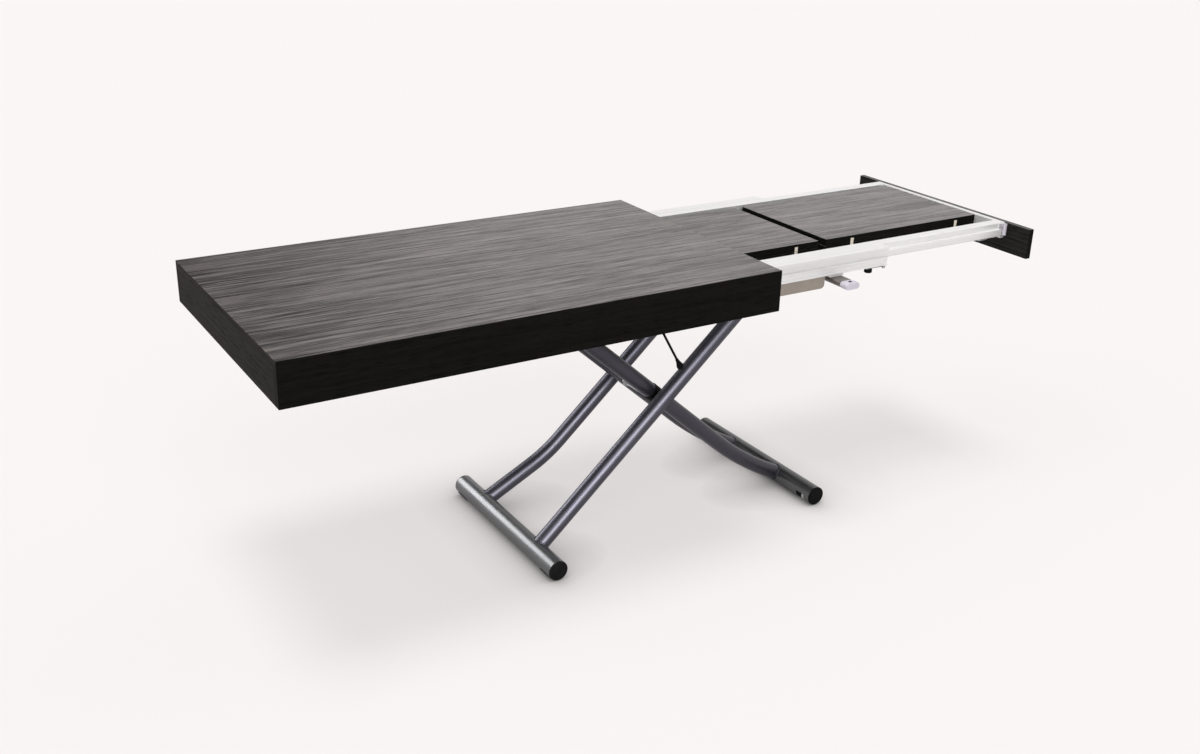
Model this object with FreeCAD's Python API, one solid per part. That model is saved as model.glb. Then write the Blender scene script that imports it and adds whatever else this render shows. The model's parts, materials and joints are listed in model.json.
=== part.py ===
import FreeCAD, Part
import math
import os

os.makedirs("parts", exist_ok=True)

# Main sizes of the table, in millimetres
TOP_LENGTH = 1200.0
TOP_WIDTH = 700.0
BOARD = 18.0
BOX_HEIGHT = 100.0
TABLE_HEIGHT = 722.0
TOP_OUT = 463.0
FRAME_OUT = 403.0

# Rails, bearers and the drawn-out frame
RAIL_HEIGHT = 48.0
SHOE_REACH = 58.0
OUTER_RAIL_WIDE = 28.0
RAIL_PAIR_WIDE = 58.0
TOP_GAP = 1.0
SLIDE_GAP = 0.5
PANEL_THICK = 16.0
CROSS_RAIL = 14.0
RAIL_CLEAR = 28.0
EAR_LONG = 25.0
END_CLEAR = 2.0
BEARER = 25.0
BEARER_TALL = 32.0
BEARER_HALF = 341.0
BEARER_CORNER = 11.0
CROSS_BAR_X = 120.0
CROSS_BAR_WIDE = 30.0
CROSS_BAR_TALL = 18.0

# Folded leaves
LEAF_LENGTH = 529.0
LEAF_WIDTH = 352.0
LEAF_SEAM = 0.6
LEAF_GAP = 26.0
LEAF_SIDE_GAP = 14.0
LEAF_END_GAP = 2.0
LEAF_REST = 4.0

# Crossed legs
LEG_R = 20.0
LEG_WALL = 2.0
FOOT_R = 25.0
FOOT_WALL = 2.5
FOOT_HALF = 257.0
FOOT_X = 394.0
PAD = 2.0
BOW_RUN = 188.85
BOW_RISE = 96.31
INNER_BOW_RUN = 126.9
INNER_BOW_RISE = 61.1
HINGE_DROP = 35.0
HINGE_BACK = 0.34
OUTER_LEG_Y = 142.0
INNER_LEG_Y = 99.0
LOW_BEND = 375.0
INNER_BEND = 950.0
TOP_BEND = 150.0
TOP_BEND_BACK = 150.66
TOP_BEND_DROP = 61.56
BLIND = 8.0
SHAFT_R = 10.0
RUN_FIT = 0.06
BOSS_R = 22.0
SLEEVE_R = 14.0
ROLLER_R = 11.2
ROLLER_SHAFT_R = 7.0
WHEEL_R = 18.0
WHEEL_WIDE = 16.0
WHEEL_Y = 225.0

# Heights and places that follow from the sizes above
BASE_X = (TOP_OUT - FRAME_OUT) / 2
BOARD_UNDER = TABLE_HEIGHT - BOARD
BOX_UNDER = TABLE_HEIGHT - BOX_HEIGHT
APRON_IN = TOP_WIDTH / 2 - BOARD
TOP_X0 = -TOP_LENGTH / 2 - TOP_OUT
TOP_X1 = TOP_LENGTH / 2 - TOP_OUT
RAIL_TOP = BOARD_UNDER - TOP_GAP
RAIL_UNDER = RAIL_TOP - RAIL_HEIGHT
RAIL_HALF = TOP_LENGTH / 2 - PANEL_THICK - CROSS_RAIL - RAIL_CLEAR
RAIL_OUTER_Y = APRON_IN - SHOE_REACH
RAIL_SPLIT_Y = RAIL_OUTER_Y - OUTER_RAIL_WIDE
RAIL_INNER_Y = RAIL_OUTER_Y - RAIL_PAIR_WIDE
PANEL_OUT = TOP_LENGTH / 2 + FRAME_OUT
PANEL_IN = PANEL_OUT - PANEL_THICK
INNER_RAIL_END = PANEL_IN - CROSS_RAIL
BRACKET_X = PANEL_IN - EAR_LONG
CROSS_HALF = RAIL_SPLIT_Y - SLIDE_GAP
INNER_RAIL_START = -RAIL_HALF + FRAME_OUT
INNER_RAIL_UNDER = RAIL_UNDER + 10
LEAF_UNDER = INNER_RAIL_UNDER
LEAF_MID = LEAF_UNDER + BOARD
LEAF_FAR_Y = RAIL_INNER_Y - LEAF_SIDE_GAP
LEAF_NEAR_Y = LEAF_FAR_Y - LEAF_WIDTH
LEAF2_X1 = INNER_RAIL_END - LEAF_END_GAP
LEAF2_X0 = LEAF2_X1 - LEAF_LENGTH
LEAF1_X1 = LEAF2_X0 - LEAF_GAP
LEAF1_X0 = LEAF1_X1 - LEAF_LENGTH
FOOT_Z = FOOT_R + PAD
HINGE_Z = RAIL_UNDER - HINGE_DROP
HINGE_X = BEARER_HALF - HINGE_BACK
BOW = (-FOOT_X + BOW_RUN, FOOT_Z + BOW_RISE)
INNER_BOW = (-FOOT_X + INNER_BOW_RUN, FOOT_Z + INNER_BOW_RISE)
STRAIGHT_TOP = (HINGE_X - TOP_BEND_BACK, HINGE_Z - TOP_BEND_DROP)
BOW_SLOPE = (HINGE_Z - BOW[1]) / (HINGE_X - BOW[0])
INNER_SLOPE = (HINGE_Z - INNER_BOW[1]) / (HINGE_X - INNER_BOW[0])
CROSS_OUTER_Z = HINGE_Z - BOW_SLOPE * HINGE_X
CROSS_INNER_Z = HINGE_Z - INNER_SLOPE * HINGE_X
PIVOT_Z = (CROSS_OUTER_Z + CROSS_INNER_Z) / 2

NODES = {}


def vec(x, y, z):
    return FreeCAD.Vector(x, y, z)


def block(x0, x1, y0, y1, z0, z1):
    return Part.makeBox(x1 - x0, y1 - y0, z1 - z0, vec(x0, y0, z0))


def rod_y(x, z, r, y0, y1):
    return Part.makeCylinder(r, y1 - y0, vec(x, y0, z), vec(0, 1, 0))


def rod_x(y, z, r, x0, x1):
    return Part.makeCylinder(r, x1 - x0, vec(x0, y, z), vec(1, 0, 0))


def rod_z(x, y, r, z0, z1):
    return Part.makeCylinder(r, z1 - z0, vec(x, y, z0), vec(0, 0, 1))


def extrude_x(profile, x0, x1):
    corners = [vec(x0, y, z) for y, z in profile]
    wire = Part.makePolygon(corners + corners[:1])
    return Part.Face(wire).extrude(vec(x1 - x0, 0, 0))


def extrude_y(profile, y0, y1):
    corners = [vec(x, y0, z) for x, z in profile]
    wire = Part.makePolygon(corners + corners[:1])
    return Part.Face(wire).extrude(vec(0, y1 - y0, 0))


def flip_y(shape):
    return shape.mirror(vec(0, 0, 0), vec(0, 1, 0))


def flip_x(shape):
    return shape.mirror(vec(0, 0, 0), vec(1, 0, 0))


def edges_along(shape, axis):
    found = []
    for edge in shape.Edges:
        ends = [v.Point for v in edge.Vertexes]
        if len(ends) == 2:
            run = (ends[1] - ends[0]).normalize()
            if abs(run.dot(axis)) > 0.999:
                found.append(edge)
    return found


def both_sides(shape):
    return Part.makeCompound([shape, flip_y(shape)])


# Main top: board, three aprons, corner blocks and guide shoes
board = block(TOP_X0, TOP_X1, -TOP_WIDTH / 2, TOP_WIDTH / 2, BOARD_UNDER, TABLE_HEIGHT)
rim = [e for e in board.Edges if e.BoundBox.ZMin > TABLE_HEIGHT - 0.1]
NODES["top_board"] = board.makeChamfer(0.8, rim)
front = block(TOP_X0, TOP_X1, -TOP_WIDTH / 2, -APRON_IN, BOX_UNDER, BOARD_UNDER)
front_low = [e for e in front.Edges if e.BoundBox.ZMax < BOX_UNDER + 0.1]
NODES["apron_front"] = front.makeChamfer(0.8, front_low)
NODES["apron_back"] = flip_y(NODES["apron_front"])
left = block(TOP_X0, TOP_X0 + BOARD, -APRON_IN, APRON_IN, BOX_UNDER, BOARD_UNDER)
left_low = [e for e in left.Edges if e.BoundBox.ZMax < BOX_UNDER + 0.1 and e.BoundBox.YLength > BOARD]
NODES["apron_left"] = left.makeChamfer(0.8, left_low)
BLOCK = 34.0
block_foot = [
    vec(TOP_X0 + BOARD, -APRON_IN, BOX_UNDER + 8),
    vec(TOP_X0 + BOARD + BLOCK, -APRON_IN, BOX_UNDER + 8),
    vec(TOP_X0 + BOARD, -APRON_IN + BLOCK, BOX_UNDER + 8),
]
block_face = Part.Face(Part.makePolygon(block_foot + block_foot[:1]))
corner_block = block_face.extrude(vec(0, 0, BOX_HEIGHT - BOARD - 8))
NODES["corner_blocks"] = both_sides(corner_block)

# Grooved outer rail, seen along the table: outward distance and height
GROOVE_TOP = RAIL_TOP - 9
GROOVE_LOW = RAIL_TOP - 27
GROOVE_Y = RAIL_OUTER_Y - 8
TONGUE_TOP = RAIL_TOP - 15
TONGUE_LOW = RAIL_TOP - 31
TONGUE_Y = RAIL_SPLIT_Y + 12
outer_profile = [
    (RAIL_SPLIT_Y, RAIL_UNDER),
    (RAIL_OUTER_Y, RAIL_UNDER),
    (RAIL_OUTER_Y, RAIL_UNDER + 3),
    (RAIL_OUTER_Y - 3, RAIL_UNDER + 5),
    (RAIL_OUTER_Y - 3, GROOVE_LOW - 5),
    (RAIL_OUTER_Y, GROOVE_LOW - 3),
    (RAIL_OUTER_Y, GROOVE_LOW),
    (GROOVE_Y, GROOVE_LOW),
    (GROOVE_Y, GROOVE_TOP),
    (RAIL_OUTER_Y, GROOVE_TOP),
    (RAIL_OUTER_Y, RAIL_TOP - 1),
    (RAIL_OUTER_Y - 1, RAIL_TOP),
    (RAIL_SPLIT_Y, RAIL_TOP),
    (RAIL_SPLIT_Y, TONGUE_TOP),
    (TONGUE_Y, TONGUE_TOP),
    (TONGUE_Y, TONGUE_LOW),
    (RAIL_SPLIT_Y, TONGUE_LOW),
]
outer_rail = extrude_x(outer_profile, -RAIL_HALF, RAIL_HALF)
rail_bore = block(-RAIL_HALF, RAIL_HALF, RAIL_SPLIT_Y + 4, RAIL_OUTER_Y - 7, RAIL_UNDER + 3, TONGUE_LOW - 3)
outer_rail = outer_rail.cut(rail_bore)
NODES["outer_rail_far"] = outer_rail
NODES["outer_rail_near"] = flip_y(outer_rail)

# Inner rail with its tongue in the outer rail's groove
RAIL_WALL = 4.0
inner_body = block(
    INNER_RAIL_START, INNER_RAIL_END, RAIL_INNER_Y, RAIL_SPLIT_Y - SLIDE_GAP, INNER_RAIL_UNDER, RAIL_TOP
)
inner_top = [e for e in edges_along(inner_body, vec(1, 0, 0)) if e.BoundBox.ZMin > RAIL_TOP - 0.1]
inner_body = inner_body.makeChamfer(0.8, inner_top)
tongue = block(
    INNER_RAIL_START,
    BRACKET_X,
    RAIL_SPLIT_Y - RAIL_WALL,
    TONGUE_Y - SLIDE_GAP,
    TONGUE_LOW + SLIDE_GAP,
    TONGUE_TOP - SLIDE_GAP,
)
inner_bore = block(
    INNER_RAIL_START,
    INNER_RAIL_END,
    RAIL_INNER_Y + RAIL_WALL,
    RAIL_SPLIT_Y - SLIDE_GAP - RAIL_WALL,
    INNER_RAIL_UNDER + RAIL_WALL,
    RAIL_TOP - RAIL_WALL,
)
inner_groove = block(
    INNER_RAIL_START,
    INNER_RAIL_END,
    RAIL_INNER_Y,
    RAIL_INNER_Y + 2,
    INNER_RAIL_UNDER + 13,
    RAIL_TOP - 13,
)
inner_rail = inner_body.fuse(tongue).cut(inner_bore).cut(inner_groove).removeSplitter()
NODES["inner_rail_far"] = inner_rail
NODES["inner_rail_near"] = flip_y(inner_rail)

# Guide shoes on the aprons run in the outer rails' outside grooves
SHOE_LONG = 40.0
SHOE_PAST_MID = 10.0
SHOE_RIGHT = RAIL_HALF - TOP_OUT - SHOE_LONG - END_CLEAR
SHOE_LEFT = (TOP_X0 + TOP_X1) / 2 + SHOE_PAST_MID
shoes = []
for shoe_x in (SHOE_LEFT, SHOE_RIGHT):
    shoe = block(
        shoe_x,
        shoe_x + SHOE_LONG,
        GROOVE_Y + SLIDE_GAP,
        APRON_IN,
        GROOVE_LOW + SLIDE_GAP,
        GROOVE_TOP - SLIDE_GAP,
    )
    shoe = shoe.makeChamfer(1.5, edges_along(shoe, vec(0, 1, 0)))
    shoes += [shoe, flip_y(shoe)]
NODES["guide_shoes"] = Part.makeCompound(shoes)

# End of the drawn-out frame: cross rail, panel, corner brackets and screws
CROSS_LOW = RAIL_UNDER + 5
cross_rail = block(INNER_RAIL_END, PANEL_IN, -CROSS_HALF, CROSS_HALF, CROSS_LOW, RAIL_TOP)
cross_rail = cross_rail.makeChamfer(1.5, edges_along(cross_rail, vec(0, 1, 0)))
cross_bore = block(
    INNER_RAIL_END + 3, PANEL_IN - 3, -CROSS_HALF, CROSS_HALF, CROSS_LOW + 3, RAIL_TOP - 3
)
NODES["end_cross_rail"] = cross_rail.cut(cross_bore)
PANEL_HALF = APRON_IN - 1
panel = block(PANEL_IN, PANEL_OUT, -PANEL_HALF, PANEL_HALF, BOX_UNDER + 0.5, BOARD_UNDER - 1.5)
panel_edges = [e for e in panel.Edges if e.BoundBox.XMin > PANEL_OUT - 0.1]
NODES["end_panel"] = panel.makeChamfer(0.8, panel_edges)
PLATE = 3.0
WING = 8.0
EAR_OUT = CROSS_HALF + PLATE
EAR_LOW = INNER_RAIL_UNDER + 2
EAR_TOP = RAIL_TOP - 3
ear = block(BRACKET_X, PANEL_IN, CROSS_HALF, EAR_OUT, EAR_LOW, EAR_TOP)
wing = block(PANEL_IN - PLATE, PANEL_IN, EAR_OUT, CROSS_HALF + WING, EAR_LOW, EAR_TOP)
NODES["corner_brackets"] = both_sides(ear.fuse(wing).removeSplitter())
screws = []
for screw_z in (EAR_LOW + 8, EAR_TOP - 8):
    screw = rod_y(PANEL_IN - EAR_LONG / 2, screw_z, 4, EAR_OUT, EAR_OUT + 2)
    screws += [screw, flip_y(screw)]
NODES["bracket_screws"] = Part.makeCompound(screws)

# Rest strips under the leaves, screwed below the inner rails
STRIP = 30.0
STRIP_IN = 45.0
strips = []
for leaf_x0 in (LEAF1_X0, LEAF2_X0):
    for strip_x in (leaf_x0 + STRIP_IN, leaf_x0 + LEAF_LENGTH - STRIP_IN - STRIP):
        strips.append(
            block(
                strip_x,
                strip_x + STRIP,
                -RAIL_SPLIT_Y + 2,
                RAIL_SPLIT_Y - 2,
                LEAF_UNDER - LEAF_REST,
                LEAF_UNDER,
            )
        )
NODES["leaf_rests"] = Part.makeCompound(strips)

# Leaves: two boards each, folded like a book on straps at the near edge
STRAP_WIDE = 10.0
STRAP_TALL = 11.0
STRAP_DEEP = 3.0
STRAP_IN = 83.0
STRAP_IN_RIGHT = 66.0


def leaf_board(x0, z0):
    shape = block(x0, x0 + LEAF_LENGTH, LEAF_NEAR_Y, LEAF_FAR_Y, z0, z0 + BOARD)
    return shape.makeChamfer(0.6, edges_along(shape, vec(0, 1, 0)))


def strap_pair(x0, z0, z1):
    pieces = []
    for strap_x in (x0 + STRAP_IN, x0 + LEAF_LENGTH - STRAP_IN_RIGHT - STRAP_WIDE):
        pieces.append(
            block(strap_x, strap_x + STRAP_WIDE, LEAF_NEAR_Y, LEAF_NEAR_Y + STRAP_DEEP, z0, z1)
        )
    return pieces


LEAF_TOP_Z = LEAF_MID + LEAF_SEAM
PEG_R = 4.0
PEG_LONG = 24.0
PEG_IN = 60.0
for label, leaf_x0 in (("leaf_1", LEAF1_X0), ("leaf_2", LEAF2_X0)):
    low_straps = strap_pair(leaf_x0, LEAF_MID - STRAP_TALL, LEAF_MID)
    high_straps = strap_pair(leaf_x0, LEAF_TOP_Z, LEAF_TOP_Z + STRAP_TALL)
    NODES[label + "_lower_board"] = leaf_board(leaf_x0, LEAF_UNDER).cut(low_straps)
    upper = leaf_board(leaf_x0, LEAF_TOP_Z).cut(high_straps)
    pegs = []
    for peg_y in (LEAF_NEAR_Y + PEG_IN, LEAF_FAR_Y - PEG_IN):
        peg_z = LEAF_TOP_Z + BOARD / 2
        if label == "leaf_1":
            pegs.append(rod_x(peg_y, peg_z, PEG_R, LEAF1_X1 - PEG_LONG / 2, LEAF1_X1 + PEG_LONG / 2))
        else:
            pegs.append(rod_x(peg_y, peg_z, PEG_R + 0.3, LEAF2_X0, LEAF2_X0 + PEG_LONG / 2 + 2))
    NODES[label + "_upper_board"] = upper.cut(pegs)
    if label == "leaf_1":
        NODES["leaf_1_straps"] = Part.makeCompound(low_straps + high_straps)
        NODES["leaf_dowels"] = Part.makeCompound(pegs)
    else:
        NODES["leaf_2_lower_straps"] = Part.makeCompound(low_straps)
        NODES["leaf_2_upper_straps"] = Part.makeCompound(high_straps)

# Bearers under the rails and cross bars between them
BEARER_Y0 = RAIL_SPLIT_Y + 1
BEARER_Y1 = BEARER_Y0 + BEARER
BEARER_LOW = RAIL_UNDER - BEARER_TALL
bearer = block(-BEARER_HALF, BEARER_HALF, BEARER_Y0, BEARER_Y1, BEARER_LOW, RAIL_UNDER)
low_ends = [e for e in edges_along(bearer, vec(0, 1, 0)) if e.BoundBox.ZMax < RAIL_UNDER - 1]
bearer = bearer.makeFillet(BEARER_CORNER, low_ends)
high_ends = [e for e in edges_along(bearer, vec(0, 1, 0)) if e.BoundBox.ZMin > RAIL_UNDER - 1]
bearer = bearer.makeFillet(3, high_ends + edges_along(bearer, vec(1, 0, 0)))
NODES["bearer_far"] = bearer
NODES["bearer_near"] = flip_y(bearer)
CROSS_BAR_LOW = RAIL_UNDER - CROSS_BAR_TALL - 3
HINGE_BAR_TALL = 11.0
HINGE_BAR_BACK = 40.66
HINGE_BAR_X = HINGE_X - HINGE_BAR_BACK
HINGE_BAR_LOW = RAIL_UNDER - HINGE_BAR_TALL


def cross_bar(bar_x, low, tall):
    x0 = bar_x - CROSS_BAR_WIDE / 2
    x1 = bar_x + CROSS_BAR_WIDE / 2
    bar = block(x0, x1, -BEARER_Y0, BEARER_Y0, low, low + tall)
    bar = bar.makeFillet(2.5, edges_along(bar, vec(0, 1, 0)))
    return bar.cut(block(x0 + 2, x1 - 2, -BEARER_Y0, BEARER_Y0, low + 2, low + tall - 2))


NODES["cross_bar_left"] = cross_bar(-CROSS_BAR_X, CROSS_BAR_LOW, CROSS_BAR_TALL)
NODES["cross_bar_right"] = cross_bar(HINGE_BAR_X, HINGE_BAR_LOW, HINGE_BAR_TALL)

# Flat oval guide bar with plastic end caps and saddles below the rails
GUIDE_OUT = 38.0
GUIDE_X = BEARER_HALF + GUIDE_OUT
GUIDE_WIDE = 42.0
GUIDE_TALL = 16.0
GUIDE_DROP = 7.0
GUIDE_Z = RAIL_UNDER - GUIDE_DROP - GUIDE_TALL / 2
GUIDE_END = APRON_IN - 0.5
CAP_LONG = 24.0


def oval_y(wide, tall, y0, y1):
    flat = (wide - tall) / 2
    body = block(GUIDE_X - flat, GUIDE_X + flat, y0, y1, GUIDE_Z - tall / 2, GUIDE_Z + tall / 2)
    ends = [rod_y(GUIDE_X + side * flat, GUIDE_Z, tall / 2, y0, y1) for side in (-1, 1)]
    return body.fuse(ends).removeSplitter()


guide_bar = oval_y(GUIDE_WIDE, GUIDE_TALL, -GUIDE_END + CAP_LONG, GUIDE_END - CAP_LONG)
guide_hole = oval_y(GUIDE_WIDE - 4, GUIDE_TALL - 4, -GUIDE_END + CAP_LONG, GUIDE_END - CAP_LONG)
NODES["guide_bar"] = guide_bar.cut(guide_hole)
cap = oval_y(GUIDE_WIDE + 1, GUIDE_TALL + 1, GUIDE_END - CAP_LONG, GUIDE_END)
cap_rim = [e for e in cap.Edges if e.BoundBox.YMin > GUIDE_END - 0.1]
NODES["guide_caps"] = both_sides(cap.makeFillet(1.5, cap_rim))
SADDLE_HALF = 22.0
SADDLE_EDGE = 4.0
saddle = block(
    GUIDE_X - SADDLE_HALF,
    GUIDE_X + SADDLE_HALF,
    RAIL_SPLIT_Y + SADDLE_EDGE,
    RAIL_OUTER_Y - SADDLE_EDGE,
    GUIDE_Z + GUIDE_TALL / 2,
    RAIL_UNDER,
)
saddle = saddle.makeFillet(2, edges_along(saddle, vec(0, 0, 1)))
NODES["guide_saddles"] = both_sides(saddle)

# Hinge plates that hang from the right cross bar and carry the outer leg frame's upper shaft
BRACKET = 8.0
BRACKET_Y = 56.0
BRACKET_TALL = 18.0
HINGE_BOSS_R = 18.0
HINGE_BORE = SHAFT_R + RUN_FIT
plate_x0 = HINGE_BAR_X - CROSS_BAR_WIDE / 2
plate_x1 = HINGE_BAR_X + CROSS_BAR_WIDE / 2
bracket_profile = [
    (plate_x0, HINGE_BAR_LOW),
    (plate_x1, HINGE_BAR_LOW),
    (HINGE_X + HINGE_BOSS_R / 2, HINGE_Z + HINGE_BOSS_R / 2),
    (HINGE_X + HINGE_BOSS_R / 2, HINGE_Z),
    (HINGE_X - HINGE_BOSS_R / 2, HINGE_Z),
    (plate_x0, HINGE_BAR_LOW - BRACKET_TALL),
]
hinge_plate = extrude_y(bracket_profile, BRACKET_Y, BRACKET_Y + BRACKET)
hinge_boss = rod_y(HINGE_X, HINGE_Z, HINGE_BOSS_R, BRACKET_Y, BRACKET_Y + BRACKET)
hinge_hole = rod_y(HINGE_X, HINGE_Z, HINGE_BORE, BRACKET_Y, BRACKET_Y + BRACKET)
hinge_plate = hinge_plate.fuse(hinge_boss).removeSplitter().cut(hinge_hole)
NODES["hinge_bracket_far"] = hinge_plate
NODES["hinge_bracket_near"] = flip_y(hinge_plate)

# Channel tracks in which the inner leg frame's upper rollers run
TRACK_PAST = 13.0
TRACK_SPARE = 82.66
TRACK_X0 = -RAIL_HALF - TRACK_PAST
TRACK_X1 = -HINGE_X + TRACK_SPARE
TRACK_WALL = 2.5
TRACK_WIDE = 32.0
TRACK_IN = ROLLER_R + 0.3
track = block(
    TRACK_X0,
    TRACK_X1,
    BEARER_Y0 - TRACK_WIDE,
    BEARER_Y0,
    HINGE_Z - TRACK_IN - TRACK_WALL,
    HINGE_Z + TRACK_IN + TRACK_WALL,
)
track_slot = block(
    TRACK_X0,
    TRACK_X1,
    BEARER_Y0 - TRACK_WIDE,
    BEARER_Y0 - TRACK_WALL,
    HINGE_Z - TRACK_IN,
    HINGE_Z + TRACK_IN,
)
track = track.cut(track_slot)
NODES["roller_track_far"] = track
NODES["roller_track_near"] = flip_y(track)
HANGER_IN = 15.0
HANGER_LONG = 30.0
HANGER_WIDE = 18.0
hanger = block(
    TRACK_X0 + HANGER_IN,
    TRACK_X0 + HANGER_IN + HANGER_LONG,
    BEARER_Y0,
    BEARER_Y0 + HANGER_WIDE,
    HINGE_Z - TRACK_IN,
    RAIL_UNDER,
)
hanger = hanger.makeFillet(2, edges_along(hanger, vec(0, 0, 1)))
NODES["track_hangers"] = both_sides(hanger)

# Height release lever with a ball knob, hung from the left cross bar
LEVER_IN = 42.0
LEVER_RUN = 91.0
LEVER_FALL = 158.0
LEVER_X = -CROSS_BAR_X - 5
LEVER_Y = LEVER_IN - BEARER_Y0
LEVER_Z = CROSS_BAR_LOW - 12
LEVER_END_X = LEVER_X + LEVER_RUN
LEVER_END_Z = LEVER_Z - LEVER_FALL
LEVER_R = 3.0
BALL_R = 9.0
PIN_R = 2.5
EAR = 3.5
ears = []
for side in (-1, 1):
    ear_y = LEVER_Y + side * (EAR / 2 + EAR)
    low = rod_y(LEVER_X, LEVER_Z, 7, ear_y - EAR / 2, ear_y + EAR / 2)
    body = block(LEVER_X - 7, LEVER_X + 7, ear_y - EAR / 2, ear_y + EAR / 2, LEVER_Z, CROSS_BAR_LOW)
    ears.append(low.fuse(body).removeSplitter())
lever_pin = rod_y(LEVER_X, LEVER_Z, PIN_R, LEVER_Y - 9, LEVER_Y + 9)
NODES["lever_bracket"] = ears[0].fuse([ears[1], lever_pin]).removeSplitter()
reach = vec(LEVER_END_X - LEVER_X, 0, LEVER_END_Z - LEVER_Z)
lever_len = reach.Length
hub = rod_y(LEVER_X, LEVER_Z, 6, LEVER_Y - EAR + 0.4, LEVER_Y + EAR - 0.4)
stem = Part.makeCylinder(LEVER_R, lever_len, vec(LEVER_X, LEVER_Y, LEVER_Z), reach)
lever_hole = rod_y(LEVER_X, LEVER_Z, PIN_R + RUN_FIT, LEVER_Y - 9, LEVER_Y + 9)
ball = Part.makeSphere(BALL_R, vec(LEVER_END_X, LEVER_Y, LEVER_END_Z))
NODES["release_lever"] = hub.fuse(stem).cut(lever_hole).cut(ball)
NODES["lever_ball"] = ball

# Rail latch: spring strip with a knob, hinged below the near outer rail's end
LATCH_Y = -(RAIL_SPLIT_Y + RAIL_OUTER_Y) / 2
LATCH_X = RAIL_HALF - 8
LATCH_Z = RAIL_UNDER - 4.6
LATCH_LONG = 53.0
STRIP_THICK = 1.6
LATCH_HALF = 7.0
LATCH_PIN_R = 1.5
latch_ears = []
for side in (-1, 1):
    ear_y = LATCH_Y + side * (LATCH_HALF + 2.5)
    latch_ears.append(block(LATCH_X - 4, LATCH_X + 4, ear_y - 2, ear_y + 2, LATCH_Z - 4, RAIL_UNDER))
latch_pin = rod_y(LATCH_X, LATCH_Z, LATCH_PIN_R, LATCH_Y - 11.5, LATCH_Y + 11.5)
NODES["latch_bracket"] = latch_ears[0].fuse([latch_ears[1], latch_pin]).removeSplitter()
latch_hole = rod_y(LATCH_X, LATCH_Z, LATCH_PIN_R + RUN_FIT, LATCH_Y - 9, LATCH_Y + 9)
eye = rod_y(LATCH_X, LATCH_Z, 3.2, LATCH_Y - LATCH_HALF, LATCH_Y + LATCH_HALF)
strip = block(
    LATCH_X - LATCH_LONG,
    LATCH_X,
    LATCH_Y - LATCH_HALF,
    LATCH_Y + LATCH_HALF,
    LATCH_Z - STRIP_THICK / 2,
    LATCH_Z + STRIP_THICK / 2,
)
NODES["latch_strip"] = strip.fuse(eye).removeSplitter().cut(latch_hole)
KNOB_X = LATCH_X - LATCH_LONG + 10
knob = rod_z(KNOB_X, LATCH_Y, 10, LATCH_Z - STRIP_THICK / 2 - 11, LATCH_Z - STRIP_THICK / 2)
knob_rim = [e for e in knob.Edges if e.BoundBox.ZMax < LATCH_Z - 11]
NODES["latch_knob"] = knob.makeFillet(2.5, knob_rim)


# Bent leg tubes
def bent_path(start, corner, end, bend, y):
    a = vec(start[0], y, start[1])
    b = vec(corner[0], y, corner[1])
    c = vec(end[0], y, end[1])
    u = (b - a).normalize()
    w = (c - b).normalize()
    half = u.getAngle(w) / 2
    cut_back = bend * math.tan(half)
    p = b - u * cut_back
    q = b + w * cut_back
    inward = (w - u).normalize()
    middle = b + inward * (bend / math.cos(half) - bend)
    arc = Part.Arc(p, middle, q).toShape()
    return Part.Wire([Part.makeLine(a, p), arc, Part.makeLine(q, c)]), a, u


def sweep(path, start, along, r):
    ring = Part.Wire([Part.Circle(start, along, r).toShape()])
    return path.makePipeShell([ring], True, False)


def leg(corner, bend, y, bore_r, bore_out):
    foot = (-FOOT_X, FOOT_Z)
    path, start, along = bent_path(foot, corner, (HINGE_X, HINGE_Z), bend, y)
    tube = sweep(path, start, along, LEG_R).cut(sweep(path, start, along, LEG_R - LEG_WALL))
    extra = [rod_y(HINGE_X, HINGE_Z, BOSS_R, y - LEG_R, y + LEG_R)]
    if bore_r:
        extra.append(rod_y(0, PIVOT_Z, SLEEVE_R, y - LEG_R / 2, y + LEG_R / 2))
    tube = tube.fuse(extra)
    tube = tube.cut(rod_y(-FOOT_X, FOOT_Z, FOOT_R, y - 60, y + 60))
    if bore_r:
        tube = tube.cut(rod_y(0, PIVOT_Z, bore_r, y - LEG_R, y + bore_out))
    return tube


# One straight leg and three bowed ones
RUN_BORE = SHAFT_R + RUN_FIT
LEG_SIDE = OUTER_LEG_Y + LEG_R
hinge_bore = rod_y(HINGE_X, HINGE_Z, SHAFT_R, -LEG_SIDE, LEG_SIDE)
NODES["leg_near_straight"] = leg(STRAIGHT_TOP, TOP_BEND, -OUTER_LEG_Y, 0, 0).cut(hinge_bore)
NODES["leg_far_bent"] = leg(BOW, LOW_BEND, OUTER_LEG_Y, SHAFT_R, BLIND).cut(hinge_bore)
roller_bore = rod_y(-HINGE_X, HINGE_Z, ROLLER_SHAFT_R, -RAIL_OUTER_Y, RAIL_OUTER_Y)
inner_far = leg(INNER_BOW, INNER_BEND, INNER_LEG_Y, RUN_BORE, LEG_R)
inner_near = leg(INNER_BOW, INNER_BEND, INNER_LEG_Y, RUN_BORE, BLIND)
NODES["leg_inner_far"] = flip_x(inner_far).cut(roller_bore)
NODES["leg_inner_near"] = flip_y(flip_x(inner_near)).cut(roller_bore)

# Outer leg frame: hinge shaft, pivot shaft, foot, caps and pads
NODES["hinge_shaft"] = rod_y(HINGE_X, HINGE_Z, SHAFT_R, -LEG_SIDE, LEG_SIDE)
pivot_end = -INNER_LEG_Y - BLIND + SLIDE_GAP
pivot_shaft = rod_y(0, PIVOT_Z, SHAFT_R, pivot_end, OUTER_LEG_Y + BLIND)
collars = []
for collar_y in (-INNER_LEG_Y + LEG_R + 0.5, INNER_LEG_Y - LEG_R - 6.5):
    collars.append(rod_y(0, PIVOT_Z, SHAFT_R + 5, collar_y, collar_y + 6))
NODES["pivot_shaft"] = pivot_shaft.fuse(collars).removeSplitter()
CAP = 3.0
PLUG = 12.0


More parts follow.
